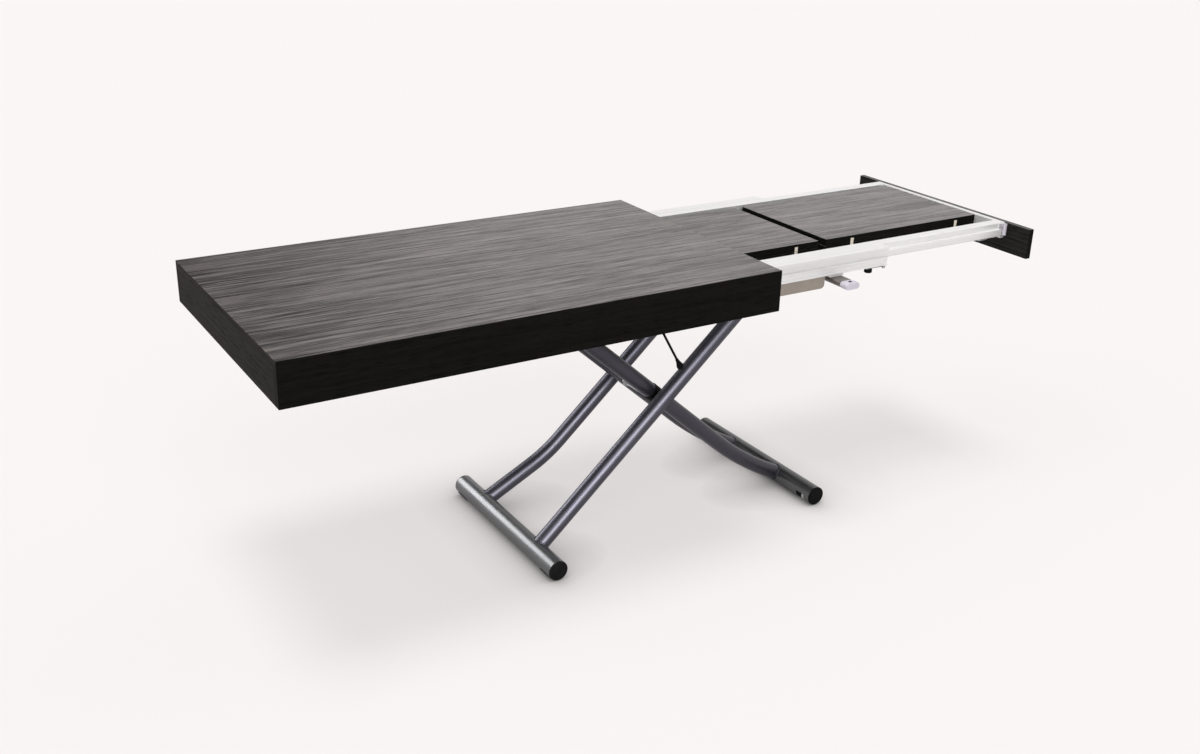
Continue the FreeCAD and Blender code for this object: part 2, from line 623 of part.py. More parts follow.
def foot_tube(x):
    end = FOOT_HALF - CAP
    shape = rod_y(x, FOOT_Z, FOOT_R, -end, end)
    return shape.cut(rod_y(x, FOOT_Z, FOOT_R - FOOT_WALL, -end, end))


def foot_caps(x):
    end = FOOT_HALF - CAP
    disc = rod_y(x, FOOT_Z, FOOT_R, end, FOOT_HALF)
    disc_rim = [e for e in disc.Edges if e.BoundBox.YMin > FOOT_HALF - 0.1]
    disc = disc.makeFillet(1.5, disc_rim)
    plug = rod_y(x, FOOT_Z, FOOT_R - FOOT_WALL, end - PLUG, end)
    return both_sides(disc.fuse(plug).removeSplitter())


NODES["foot_tube_left"] = foot_tube(-FOOT_X)
NODES["foot_caps_left"] = foot_caps(-FOOT_X)
PAD_LONG = 40.0
pad_start = vec(-FOOT_X, WHEEL_Y - PAD_LONG / 2, FOOT_Z)
pad_ring = Part.makeCylinder(FOOT_Z, PAD_LONG, pad_start, vec(0, 1, 0))
pad_ring = pad_ring.cut(rod_y(-FOOT_X, FOOT_Z, FOOT_R, 0, FOOT_HALF))
pad_keep = block(-FOOT_X - FOOT_Z, -FOOT_X + FOOT_Z, 0, FOOT_HALF, -1, FOOT_Z / 2)
NODES["foot_pads"] = both_sides(pad_ring.common(pad_keep))

# Inner leg frame: roller shaft, foot with wheel slots, caps, wheel housings and spacer
ROLLER_Y0 = BEARER_Y0 - 22
ROLLER_Y1 = BEARER_Y0 - 7
shaft_ring = rod_y(-HINGE_X, HINGE_Z, ROLLER_SHAFT_R + 4, ROLLER_Y0 - 4, ROLLER_Y0 - 0.5)
roller_shaft = rod_y(-HINGE_X, HINGE_Z, ROLLER_SHAFT_R, -ROLLER_Y1, ROLLER_Y1)
NODES["roller_shaft"] = roller_shaft.fuse([shaft_ring, flip_y(shaft_ring)]).removeSplitter()
roller = rod_y(-HINGE_X, HINGE_Z, ROLLER_R, ROLLER_Y0, ROLLER_Y1)
roller = roller.makeChamfer(1, [e for e in roller.Edges if e.BoundBox.YLength < 0.1])
roller = roller.cut(rod_y(-HINGE_X, HINGE_Z, ROLLER_SHAFT_R + RUN_FIT, ROLLER_Y0, ROLLER_Y1))
NODES["roller_far"] = roller
NODES["roller_near"] = flip_y(roller)
WHEEL_Z = WHEEL_R
SLOT_RISE = 1.0
SLOT_HALF = WHEEL_WIDE / 2 + 1.5
SLOT_INSIDE = 12.0
slot_y0 = WHEEL_Y - SLOT_HALF - SLOT_INSIDE
slot_y1 = WHEEL_Y + SLOT_HALF
slot = block(FOOT_X - FOOT_R, FOOT_X + FOOT_R, slot_y0, slot_y1, -1, FOOT_Z + SLOT_RISE)
NODES["foot_tube_right"] = foot_tube(FOOT_X).cut([slot, flip_y(slot)])
NODES["foot_caps_right"] = foot_caps(FOOT_X)
house_y0 = slot_y0 - 4
house_y1 = slot_y1 + 4
house = rod_y(FOOT_X, FOOT_Z, FOOT_R - FOOT_WALL, house_y0, house_y1)
well = block(
    FOOT_X - WHEEL_R - 1.5,
    FOOT_X + WHEEL_R + 1.5,
    WHEEL_Y - WHEEL_WIDE / 2 - 0.6,
    WHEEL_Y + WHEEL_WIDE / 2 + 0.6,
    -1,
    WHEEL_Z + WHEEL_R + 1.5,
)
AXLE_R = 3.0
axle = rod_y(FOOT_X, WHEEL_Z, AXLE_R, house_y0, house_y1)
side_window = block(
    FOOT_X - FOOT_R,
    FOOT_X + FOOT_R,
    WHEEL_Y - WHEEL_WIDE / 2 - 0.6,
    WHEEL_Y + WHEEL_WIDE / 2 + 0.6,
    -1,
    FOOT_Z + SLOT_RISE,
)
house = house.cut([well, side_window]).fuse(axle).removeSplitter()
NODES["wheel_housings"] = both_sides(house)
wheel = rod_y(FOOT_X, WHEEL_Z, WHEEL_R, WHEEL_Y - WHEEL_WIDE / 2, WHEEL_Y + WHEEL_WIDE / 2)
wheel = wheel.makeChamfer(1.5, [e for e in wheel.Edges if e.BoundBox.YLength < 0.1])
wheel = wheel.cut(rod_y(FOOT_X, WHEEL_Z, AXLE_R + RUN_FIT, 0, FOOT_HALF))
NODES["wheel_far"] = wheel
NODES["wheel_near"] = flip_y(wheel)
slope_len = math.hypot(1, INNER_SLOPE)
lean = vec(-1 / slope_len, 0, INNER_SLOPE / slope_len)
CLIP_AT = 42.0
CLIP_LONG = 22.0
clip_start = vec(0, -INNER_LEG_Y, CROSS_INNER_Z) + lean * CLIP_AT
clip = Part.makeCylinder(LEG_R + 1.5, CLIP_LONG, clip_start, lean)
NODES["leg_spacer"] = clip.cut(Part.makeCylinder(LEG_R + 0.2, CLIP_LONG, clip_start, lean))

# Place the whole table so that its floor box is centred on the origin, and write each piece
for name, shape in NODES.items():
    shape.translate(vec(BASE_X, 0, 0))
    shape.exportStep("parts/" + name + ".step")
    box = shape.BoundBox
    low = "%.1f %.1f %.1f" % (box.XMin, box.YMin, box.ZMin)
    high = "%.1f %.1f %.1f" % (box.XMax, box.YMax, box.ZMax)
    state = "ok" if shape.isValid() else "INVALID"
    print(name, len(shape.Solids), state, low, "to", high)
print(len(NODES), "pieces")
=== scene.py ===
# %% [markdown]
# # An extending lift table, part open
# The table is a dark veneered box on crossed steel tubes. The box slides off to the left, and a pale rail
# frame with two folded leaves draws out to the right. The CAD model gives every rigid shape and its place,
# in metres. This lesson gives those shapes their finishes, adds the small things that a maker adds last,
# such as screws and welds, and sets up the light and the camera.

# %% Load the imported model
import json
import math

import bmesh
import bpy
from mathutils import Matrix, Vector

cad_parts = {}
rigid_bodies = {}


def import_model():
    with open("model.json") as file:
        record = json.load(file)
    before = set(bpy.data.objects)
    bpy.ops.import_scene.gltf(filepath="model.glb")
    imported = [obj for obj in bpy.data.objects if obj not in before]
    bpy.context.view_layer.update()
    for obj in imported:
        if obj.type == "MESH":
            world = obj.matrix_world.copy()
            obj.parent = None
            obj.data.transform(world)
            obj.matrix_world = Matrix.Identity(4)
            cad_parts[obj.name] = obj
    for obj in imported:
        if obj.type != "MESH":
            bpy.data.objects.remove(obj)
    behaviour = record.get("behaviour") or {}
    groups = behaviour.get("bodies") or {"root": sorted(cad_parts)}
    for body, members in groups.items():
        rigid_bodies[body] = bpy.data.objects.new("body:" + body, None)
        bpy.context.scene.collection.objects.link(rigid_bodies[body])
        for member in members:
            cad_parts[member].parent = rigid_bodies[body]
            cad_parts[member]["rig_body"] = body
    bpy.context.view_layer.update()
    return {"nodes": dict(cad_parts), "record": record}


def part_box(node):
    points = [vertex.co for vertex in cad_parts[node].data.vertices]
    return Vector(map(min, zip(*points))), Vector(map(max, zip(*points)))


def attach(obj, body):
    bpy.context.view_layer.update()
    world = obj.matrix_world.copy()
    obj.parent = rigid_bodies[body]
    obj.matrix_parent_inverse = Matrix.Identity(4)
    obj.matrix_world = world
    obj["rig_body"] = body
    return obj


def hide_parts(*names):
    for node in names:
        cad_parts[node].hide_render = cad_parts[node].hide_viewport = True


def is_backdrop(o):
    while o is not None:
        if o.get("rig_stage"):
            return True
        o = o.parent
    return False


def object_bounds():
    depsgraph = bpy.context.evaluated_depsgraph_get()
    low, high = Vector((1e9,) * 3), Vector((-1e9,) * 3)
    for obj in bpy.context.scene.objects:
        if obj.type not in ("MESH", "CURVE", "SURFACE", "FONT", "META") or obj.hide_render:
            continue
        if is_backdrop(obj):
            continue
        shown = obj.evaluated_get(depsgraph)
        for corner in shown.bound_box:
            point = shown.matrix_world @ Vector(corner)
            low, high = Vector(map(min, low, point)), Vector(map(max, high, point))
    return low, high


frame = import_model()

scene = bpy.context.scene
nodes = frame["nodes"]

# %% [markdown]
# ## Camera
# The picture was taken from the front left, a little above the top. A camera can be aimed with Euler
# angles, but three angles in a row are hard to read. Here its three axes are written down one by one: where
# it looks, what is right and what is up. A small roll then turns the last two about the first.

# %% Camera
CAMERA_PLACE = Vector((-1.7064, -2.5748, 1.6411))
YAW = math.radians(31.91)
PITCH = math.radians(22.58)
ROLL = math.radians(1.48)
SENSOR_MM = 36.0
LENS_MM = 39.15

look = Vector((math.sin(YAW) * math.cos(PITCH), math.cos(YAW) * math.cos(PITCH), -math.sin(PITCH)))
level_right = Vector((math.cos(YAW), -math.sin(YAW), 0.0))
level_up = level_right.cross(look)
right = math.cos(ROLL) * level_right + math.sin(ROLL) * level_up
up = math.cos(ROLL) * level_up - math.sin(ROLL) * level_right
turn = Matrix((right, up, -look)).transposed().to_4x4()

camera_data = bpy.data.cameras.new("camera")
camera_data.sensor_fit = "HORIZONTAL"
camera_data.sensor_width = SENSOR_MM
camera_data.lens = LENS_MM
camera = bpy.data.objects.new("camera", camera_data)
camera.matrix_world = Matrix.Translation(CAMERA_PLACE) @ turn
scene.collection.objects.link(camera)
scene.camera = camera
print("camera looks along", [round(v, 3) for v in look])

# %% [markdown]
# ## Node helpers
# Every finish below is a small tree of shader nodes. A few helpers keep the trees short. One makes a node
# and fills its sockets, from a number or from another node, and one does the same for plain arithmetic. One
# turns a colour as a painter writes it into the linear light values that the shader needs.


# %% Node helpers
def put(tree, kind, inputs=None, **settings):
    """Add a node; an input is a plain value or another node's output socket."""
    made = tree.nodes.new(kind)
    for key, value in settings.items():
        setattr(made, key, value)
    for key, value in (inputs or {}).items():
        if isinstance(value, bpy.types.NodeSocket):
            tree.links.new(value, made.inputs[key])
        else:
            made.inputs[key].default_value = value
    return made


def reckon(tree, operation, *values):
    """The result of a Math node."""
    return put(tree, "ShaderNodeMath", dict(enumerate(values)), operation=operation).outputs[0]


def colour(code):
    """A colour such as #8a8480, as linear light."""
    levels = [int(code[i : i + 2], 16) / 255 for i in (1, 3, 5)]
    linear = [v / 12.92 if v <= 0.04045 else ((v + 0.055) / 1.055) ** 2.4 for v in levels]
    return (*linear, 1.0)


def grey(level):
    """A grey that is already linear light, for multiplying."""
    return (level, level, level, 1.0)


print("a mid grey is", [round(v, 3) for v in colour("#808080")])

# %% [markdown]
# ## World
# The picture has a warm white ground. White from more light would wash out the dark wood, so the world
# simply shows white to the camera and to reflections, through the Light Path node, and lights the table at
# a low level. Behind on the left it goes dark in reflections, as behind a photographer's black flag. The
# satin top mirrors that side at its left end, so it falls off there, and the wood shows its own colour.


# %% World
def seen_directly(tree):
    """Give the Light Path node, and 1 for rays from the camera, off a shine or through glass."""
    path = put(tree, "ShaderNodeLightPath")
    seen = path.outputs["Is Camera Ray"]
    for kind in ("Is Glossy Ray", "Is Transmission Ray"):
        seen = reckon(tree, "MAXIMUM", seen, path.outputs[kind])
    return path, seen


GROUND = colour("#f8f4f3")
AMBIENT = 0.22
FLAG_BEARING = math.radians(-5)
FLAG_HALF = math.radians(18)
FLAG_EDGE = math.radians(13)
FLAG_LEVEL = 0.0

world = bpy.data.worlds.new("studio")
world.use_nodes = True
scene.world = world
tree = world.node_tree
tree.nodes.clear()
path, seen = seen_directly(tree)
ray = put(tree, "ShaderNodeTexCoord").outputs["Generated"]
axes = put(tree, "ShaderNodeSeparateXYZ", {"Vector": ray}).outputs
bearing = reckon(tree, "ARCTAN2", axes["X"], axes["Y"])
aside = reckon(tree, "ABSOLUTE", reckon(tree, "SUBTRACT", bearing, FLAG_BEARING))
clear = put(tree, "ShaderNodeMapRange",
            {"Value": aside, "From Min": FLAG_HALF, "From Max": FLAG_HALF + FLAG_EDGE,
             "To Min": FLAG_LEVEL, "To Max": 1.0}).outputs["Result"]
strength = reckon(tree, "MAXIMUM", clear, path.outputs["Is Camera Ray"])
soft = put(tree, "ShaderNodeBackground", {"Color": GROUND, "Strength": AMBIENT})
white = put(tree, "ShaderNodeBackground", {"Color": GROUND, "Strength": strength})
either = put(tree, "ShaderNodeMixShader", {0: seen, 1: soft.outputs[0], 2: white.outputs[0]})
put(tree, "ShaderNodeOutputWorld", {"Surface": either.outputs[0]})
scene.view_settings.view_transform = "Standard"
print("world ready, ambient level", AMBIENT)

# %% [markdown]
# ## Floor
# The floor is white in the same way, and yet it has to take the table's faint shadow. So it mixes that
# white with a plain lit surface, and only the lit share can go dark. An Ambient Occlusion node darkens it
# close to the feet, a painted contact shadow where the eye looks for contact. It is stage, not part of the
# table.

# %% Floor
FLOOR_HALF = 30.0
SHADOW_SHARE = 0.37
CONTACT_REACH = 0.13
CONTACT_SAMPLES = 8

corners = [(x * FLOOR_HALF, y * FLOOR_HALF, 0) for x, y in ((-1, -1), (1, -1), (1, 1), (-1, 1))]
floor_mesh = bpy.data.meshes.new("floor")
floor_mesh.from_pydata(corners, [], [(0, 1, 2, 3)])
floor = bpy.data.objects.new("floor", floor_mesh)
scene.collection.objects.link(floor)
floor_paint = bpy.data.materials.new("floor_white")
floor_paint.use_nodes = True
tree = floor_paint.node_tree
tree.nodes.clear()
_, seen = seen_directly(tree)
# Painted contact shadow: the floor's colour darkens within this reach of the feet
contact = put(tree, "ShaderNodeAmbientOcclusion", {"Color": GROUND, "Distance": CONTACT_REACH},
              samples=CONTACT_SAMPLES).outputs["Color"]
lit = put(tree, "ShaderNodeBsdfDiffuse", {"Color": contact})
glow = put(tree, "ShaderNodeEmission", {"Color": contact, "Strength": 1.0})
shaded = put(tree, "ShaderNodeMixShader", {0: 1 - SHADOW_SHARE, 1: lit.outputs[0], 2: glow.outputs[0]})
either = put(tree, "ShaderNodeMixShader", {0: seen, 1: lit.outputs[0], 2: shaded.outputs[0]})
put(tree, "ShaderNodeOutputMaterial", {"Surface": either.outputs[0]})
floor_mesh.materials.append(floor_paint)
floor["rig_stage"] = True
print("floor keeps", SHADOW_SHARE, "of the shadow")

# %% [markdown]
# ## Lamps
# One wide lamp from above, two at the sides and one in front make the shadows. They are suns, because a
# sun's level is the same everywhere and its angle sets how soft the shadow is. Area lamps would do as well,
# but they get weaker with distance, and this table is two metres long.


# %% Lamps
def add_lamp(name, kind, towards, place=(0, 0, 0), **settings):
    """Link a lamp that shines in a direction; the settings go to its data."""
    data = bpy.data.lights.new(name, kind)
    for key, value in settings.items():
        setattr(data, key, value)
    lamp = bpy.data.objects.new(name, data)
    lamp.location = place
    lamp.rotation_euler = Vector(towards).to_track_quat("-Z", "Y").to_euler()
    scene.collection.objects.link(lamp)
    return lamp


# Name, direction, level and softness in degrees. At level 1 a white face square to a sun renders white.
SUNS = (
    ("overhead", (0.10, 0.0, -1.0), 0.45, 22),
    ("side_left", (0.80, -0.10, -0.75), 0.20, 45),
    ("side_right", (-0.80, -0.10, -0.75), 0.06, 45),
    ("front", (0.25, 0.80, -0.55), 0.42, 50),
)
for name, towards, level, softness in SUNS:
    add_lamp(name, "SUN", towards, energy=math.pi * level, angle=math.radians(softness))
    print("sun", name, "at level", level)

# %% [markdown]
# ## Spots
# Two spots draw the round tubes of the outer legs with their highlights. They light those legs alone, which
# a later cell sets: more front light would flatten the pale rails, and light from behind would glare on the
# leaves. The spot behind casts no shadow, so it reaches the foot under the top.

# %% Spots
SPOT_DISTANCE = 3.0
SPOT_CONE = math.radians(60)


def spot(name, aim, away, watts, radius, shadow):
    """A round lamp that stands off in a direction from the point it is aimed at."""
    off = Vector(away).normalized() * SPOT_DISTANCE
    return add_lamp(name, "SPOT", -off, Vector(aim) + off, energy=watts, spot_size=SPOT_CONE,
                    shadow_soft_size=radius, use_shadow=shadow)


leg_spot = spot("leg_spot", aim=(0.0, 0.0, 0.26), away=(-0.33, -0.90, 0.30),
                watts=380, radius=0.70, shadow=True)
foot_spot = spot("foot_spot", aim=(0.0, 0.0, 0.03), away=(-0.45, 0.75, 0.45),
                 watts=240, radius=0.85, shadow=False)
print("spots:", leg_spot.name, leg_spot.data.energy, "W,", foot_spot.name, foot_spot.data.energy, "W")

# %% [markdown]
# ## Pattern helpers
# All finishes are patterns on the piece's own coordinates, so nothing has to be unwrapped and no picture is
# needed. These helpers make a noise that can be stretched along the grain, blend two colours by it, carry
# it over to another range, and wire colour, roughness and bump into the shader.


# %% Pattern helpers
def start_finish(name):
    finish = bpy.data.materials.new(name)
    finish.use_nodes = True
    tree = finish.node_tree
    tree.nodes.clear()
    shader = put(tree, "ShaderNodeBsdfPrincipled")
    put(tree, "ShaderNodeOutputMaterial", {"Surface": shader.outputs[0]})
    return finish, tree, shader


def stretched_noise(tree, scale, detail, turn_z=0.0, rough=0.6):
    """Noise on the piece's own coordinates, with a scale along each axis."""
    own = put(tree, "ShaderNodeTexCoord").outputs["Object"]
    turned = put(tree, "ShaderNodeMapping", {"Vector": own, "Rotation": (0, 0, turn_z)})
    drawn = put(tree, "ShaderNodeMapping", {"Vector": turned.outputs[0], "Scale": scale})
    noise = put(tree, "ShaderNodeTexNoise", {"Vector": drawn.outputs[0], "Scale": 1.0, "Detail": detail,
                                             "Roughness": rough})
    return noise.outputs["Fac"]


def ramp(tree, value, low, high, low_at, high_at):
    """Blend two colours between two levels of a pattern."""
    made = put(tree, "ShaderNodeValToRGB", {"Fac": value})
    for element, shade, place in zip(made.color_ramp.elements, (low, high), (low_at, high_at)):
        element.position = place
        element.color = shade
    return made.outputs["Color"]


def span(tree, value, low, high):
    """Carry a pattern from its usual 0.3 to 0.7 over to low to high."""
    made = put(tree, "ShaderNodeMapRange", {"Value": value, "From Min": 0.3, "From Max": 0.7,
                                            "To Min": low, "To Max": high})
    return made.outputs["Result"]


def multiply(tree, first, second):
    made = put(tree, "ShaderNodeMix", {0: 1.0, 6: first, 7: second}, data_type="RGBA", blend_type="MULTIPLY")
    return made.outputs[2]


def wire(tree, shader, skin, sheen, height, strength, depth):
    """Lead colour, roughness and bump into the shader; depth is in metres."""
    bump = put(tree, "ShaderNodeBump", {"Height": height, "Strength": strength, "Distance": depth})
    for value, key in ((skin, "Base Color"), (sheen, "Roughness"), (bump.outputs[0], "Normal")):
        tree.links.new(value, shader.inputs[key])


print("pattern helpers ready")

# %% [markdown]
# ## Veneer
# The boards carry a dark, open-pored veneer whose grain runs straight. A photograph of wood would do, but
# it repeats and has to be unwrapped. Noise that is stretched along the grain gives the same picture at any
# size: soft bands for the growth, thin streaks for the grain, and short dark ticks for the pores. The dark
# lines between growth rings are drawn where a broader noise passes its middle value, like the contour lines
# of a map. The broad faces are sealed and satin, so they pick up the bright room at a low angle. Pores and
# ring lines stay open and don't shine, so they also dull the reflection. The copies for faces that look up
# are lighter, with painted light from above and painted sheen. The edges are matt and nearly black, partly
# their own colour and partly painted shade, and the edges at the ends are a little lighter, with painted
# light from the left.

# %% Veneer finish
# Scales along and across the grain
GROWTH = (0.6, 20.0, 20.0)
GRAIN = (4.5, 150.0, 150.0)
RINGS = (1.4, 52.0, 52.0)
PORES = (26.0, 620.0, 620.0)
RING_MIDDLE = 0.5
PORE_SHADE = 0.45
ACROSS = math.radians(90)


def veneer(name, dark, light, gloss, sheen, turn_z=0.0, line=0.42):
    """Wood between two colours; line is how dark the ring lines are, turn_z turns the grain."""
    finish, tree, shader = start_finish(name)
    growth = stretched_noise(tree, GROWTH, 4.0, turn_z)
    grain = stretched_noise(tree, GRAIN, 8.0, turn_z, rough=0.65)
    rings = stretched_noise(tree, RINGS, 4.0, turn_z)
    pores = stretched_noise(tree, PORES, 3.0, turn_z)
    grown = ramp(tree, growth, grey(0.84), (1.06, 1.05, 1.04, 1.0), 0.34, 0.66)
    streaks = ramp(tree, grain, colour(dark), colour(light), 0.38, 0.62)
    ticks = ramp(tree, pores, grey(PORE_SHADE), grey(1.0), 0.36, 0.46)
    from_middle = reckon(tree, "ABSOLUTE", reckon(tree, "SUBTRACT", rings, RING_MIDDLE))
    lines = ramp(tree, from_middle, grey(line), grey(1.0), 0.008, 0.045)
    wood = multiply(tree, multiply(tree, multiply(tree, streaks, grown), ticks), lines)
    shine = reckon(tree, "MULTIPLY", multiply(tree, lines, ticks), gloss)
    tree.links.new(shine, shader.inputs["Specular IOR Level"])
    height = reckon(tree, "MULTIPLY", grain, pores)
    wire(tree, shader, wood, span(tree, grain, *sheen), height, strength=0.25, depth=0.0006)
    return finish


# Faces that look up: lighter colours, partly painted light from above and painted sheen
lit_veneer_top = veneer("lit_veneer_top", "#343130", "#827c7a", gloss=0.5, sheen=(0.24, 0.36))
# Sides and undersides: nearly black, partly the edge veneer's own colour and partly painted shade
shaded_veneer_edge = veneer("shaded_veneer_edge", "#0f0f0e", "#171614", gloss=0.04, sheen=(0.55, 0.70), line=0.8)
# Faces along the table: a little lighter than the sides, painted light from the left
lit_veneer_edge_across = veneer("lit_veneer_edge_across", "#1b1916", "#262420", gloss=0.03, sheen=(0.5, 0.65),
                            turn_z=ACROSS, line=0.8)
# End panel: the upright faces are darker than the top edge, painted shade on the uprights and painted light
# on the top edge
veneer_panel = veneer("veneer_panel", "#171717", "#2c2b2a", gloss=0.10, sheen=(0.45, 0.6), turn_z=ACROSS)
lit_veneer_panel_top = veneer("lit_veneer_panel_top", "#3a3838", "#5c5a59", gloss=0.4, sheen=(0.4, 0.55),
                          turn_z=ACROSS)
print("veneers:", lit_veneer_top.name, shaded_veneer_edge.name, lit_veneer_edge_across.name, veneer_panel.name)

# %% [markdown]
# ## Drawn aluminium
# The rails are drawn through a die, so fine lines run along them and none across, and the anodised skin is
# nearly white. The lines are noise again, this time stretched very far along the rail, and they change the
# roughness and a shallow bump more than the colour.


# %% Rail finish
def drawn_metal(name, dark, light, metal, sheen):
    finish, tree, shader = start_finish(name)
    lines = stretched_noise(tree, (1.5, 900.0, 900.0), 4.0)
    cloud = stretched_noise(tree, (5.0, 5.0, 5.0), 3.0)
    skin = multiply(tree, ramp(tree, lines, colour(dark), colour(light), 0.3, 0.7),
                    ramp(tree, cloud, (0.95, 0.95, 0.96, 1.0), grey(1.0), 0.35, 0.65))
    shader.inputs["Metallic"].default_value = metal
    wire(tree, shader, skin, span(tree, lines, *sheen), lines, strength=0.12, depth=0.0003)
    return finish


rail_skin = drawn_metal("rail_skin", "#e2e2e1", "#f1f1f0", metal=0.35, sheen=(0.30, 0.42))
# Guide bar: a darker grey, painted shade for its side that stands in shadow and mirrors darker surroundings
shaded_bar_skin = drawn_metal("shaded_bar_skin", "#6f6a66", "#87827d", metal=0.7, sheen=(0.30, 0.42))
print("rail finishes:", rail_skin.name, shaded_bar_skin.name)

# %% [markdown]
# ## Tube paint
# The tubes have a graphite stove paint with fine metal flakes. A flake is too small to model, so small
# Voronoi cells of slightly different grey stand for it. A wide, very shallow noise gives the soft waviness
# that sprayed paint keeps.

# %% Tube paint
FLAKE_SCALE = 2600.0


def flake_paint(name, dark, light, metal, sheen):
    finish, tree, shader = start_finish(name)
    own = put(tree, "ShaderNodeTexCoord").outputs["Object"]
    cells = put(tree, "ShaderNodeTexVoronoi", {"Vector": own, "Scale": FLAKE_SCALE})
    shade = put(tree, "ShaderNodeSeparateColor", {"Color": cells.outputs["Color"]})
    cloud = stretched_noise(tree, (14.0, 14.0, 14.0), 4.0)
    wave = stretched_noise(tree, (45.0, 45.0, 45.0), 2.0)
    skin = multiply(tree, ramp(tree, shade.outputs[0], colour(dark), colour(light), 0.0, 1.0),
                    ramp(tree, cloud, (0.88, 0.88, 0.90, 1.0), grey(1.0), 0.35, 0.65))
    shader.inputs["Metallic"].default_value = metal
    wire(tree, shader, skin, span(tree, cloud, *sheen), wave, strength=0.03, depth=0.0003)
    return finish


leg_paint = flake_paint("leg_paint", "#3e3d43", "#4f4e56", metal=0.85, sheen=(0.36, 0.42))
foot_paint = flake_paint("foot_paint", "#595a5b", "#747576", metal=0.85, sheen=(0.35, 0.41))
frame_paint = flake_paint("frame_paint", "#33333a", "#484850", metal=0.4, sheen=(0.4, 0.52))
bearer_paint = flake_paint("bearer_paint", "#8b8278", "#a39a90", metal=0.1, sheen=(0.45, 0.6))
print("paints:", leg_paint.name, foot_paint.name, frame_paint.name, bearer_paint.name)

# %% [markdown]
# ## Zinc, plastic, rubber and plain wood
# Zinc plating has a faint cloudy spangle. Moulded plastic has a fine even grain from its mould, and rubber
# the same with less shine. The glue blocks and pegs are plain pale wood, so they reuse the veneer's tree.

# %% Small finishes
# Scale and depth of the surface grain
METAL_GRAIN = (500.0, 0.0001)
PLASTIC_GRAIN = (1800.0, 0.0002)
RUBBER_GRAIN = (1500.0, 0.0003)


def grained(name, dark, light, surface, sheen, metal=0.0, gloss=0.5):
    finish, tree, shader = start_finish(name)
    scale, depth = surface
    cloud = stretched_noise(tree, (60.0, 60.0, 60.0), 3.0)
    grain = stretched_noise(tree, (scale, scale, scale), 2.0)
    shader.inputs["Metallic"].default_value = metal
    shader.inputs["Specular IOR Level"].default_value = gloss
    skin = ramp(tree, cloud, colour(dark), colour(light), 0.3, 0.7)
    wire(tree, shader, skin, span(tree, grain, *sheen), grain, strength=0.2, depth=depth)
    return finish


zinc = grained("zinc", "#a9aaac", "#c6c7c9", METAL_GRAIN, (0.26, 0.40), metal=0.9)
bright_zinc = grained("bright_zinc", "#d8d6de", "#eae8ee", METAL_GRAIN, (0.26, 0.38), metal=0.4)
black_plastic = grained("black_plastic", "#09090a", "#101011", PLASTIC_GRAIN, (0.48, 0.60), gloss=0.06)
strap_plastic = grained("strap_plastic", "#e2d9c6", "#efe8d8", PLASTIC_GRAIN, (0.38, 0.50))
white_plastic = grained("white_plastic", "#d8d4d5", "#e6e2e3", PLASTIC_GRAIN, (0.38, 0.50))
cap_plastic = grained("cap_plastic", "#c4c1cc", "#d3d0da", PLASTIC_GRAIN, (0.38, 0.50))
pad_rubber = grained("pad_rubber", "#161616", "#222222", RUBBER_GRAIN, (0.75, 0.9))
dark_steel = grained("dark_steel", "#26262a", "#3a3a3e", METAL_GRAIN, (0.32, 0.46), metal=0.8)
plain_wood = veneer("plain_wood", "#a98a62", "#cbb08a", gloss=0.3, sheen=(0.5, 0.65))
print("finishes in all:", len(bpy.data.materials))

# %% [markdown]
# ## Dress the CAD pieces
# The record names a finish slot for every piece. One table turns slots into the materials made above, and
# the pieces that look different from the rest of their slot get their own entry after it.

# %% Dress the CAD pieces
BY_SLOT = {
    "veneer": shaded_veneer_edge, "plain_wood": plain_wood, "bearer_paint": bearer_paint, "rail": rail_skin,
    "leg_paint": leg_paint, "foot_paint": foot_paint, "frame_paint": frame_paint, "steel": zinc,
    "black_plastic": black_plastic, "pad_rubber": pad_rubber, "white_plastic": white_plastic,
}
BY_NODE = {
    "apron_left": lit_veneer_edge_across, "guide_bar": shaded_bar_skin, "guide_caps": cap_plastic,
    "corner_brackets": bright_zinc, "leaf_1_straps": strap_plastic, "leaf_2_lower_straps": strap_plastic,
    "leaf_2_upper_straps": strap_plastic,
}

for part in frame["record"]["subparts"]:
    skins = nodes[part["node"]].data.materials
    skins.clear()
    skins.append(BY_NODE.get(part["node"], BY_SLOT[part["material_slot"]]))

# %% [markdown]
# ## Veneered boards
# On the real boards the broad faces and the edges are covered with different strips of veneer. One material
# per piece can't show that, and the CAD mesh itself isn't touched. So each board is rebuilt as a new mesh
# from the CAD one: the triangles of a flat face are merged into one face, and every face then takes its
# material from the way it points. Faces that look up get the lighter veneer and all others a darker one,
# undersides too, so the split is partly the real face and edge veneer, partly painted light from above and
# painted shade below and at the sides. The new board stands for the CAD node and moves with the same body.

# %% Veneered boards
SAME_POINT = 1e-5
SAME_PLANE = math.radians(1)
LOOKS_UP = 0.3
LOOKS_ALONG = 0.9


def flat_copy(node):
    """A copy of a CAD mesh with its flat faces merged."""
    bm = bmesh.new()
    bm.from_mesh(nodes[node].data)
    bmesh.ops.remove_doubles(bm, verts=bm.verts, dist=SAME_POINT)
    bmesh.ops.dissolve_limit(bm, angle_limit=SAME_PLANE, verts=bm.verts, edges=bm.edges)
    points = [v.co.copy() for v in bm.verts]
    bm.verts.index_update()
    faces = [[v.index for v in f.verts] for f in bm.faces]
    bm.free()
    mesh = bpy.data.meshes.new(node + "_veneered")
    mesh.from_pydata(points, [], faces)
    return mesh


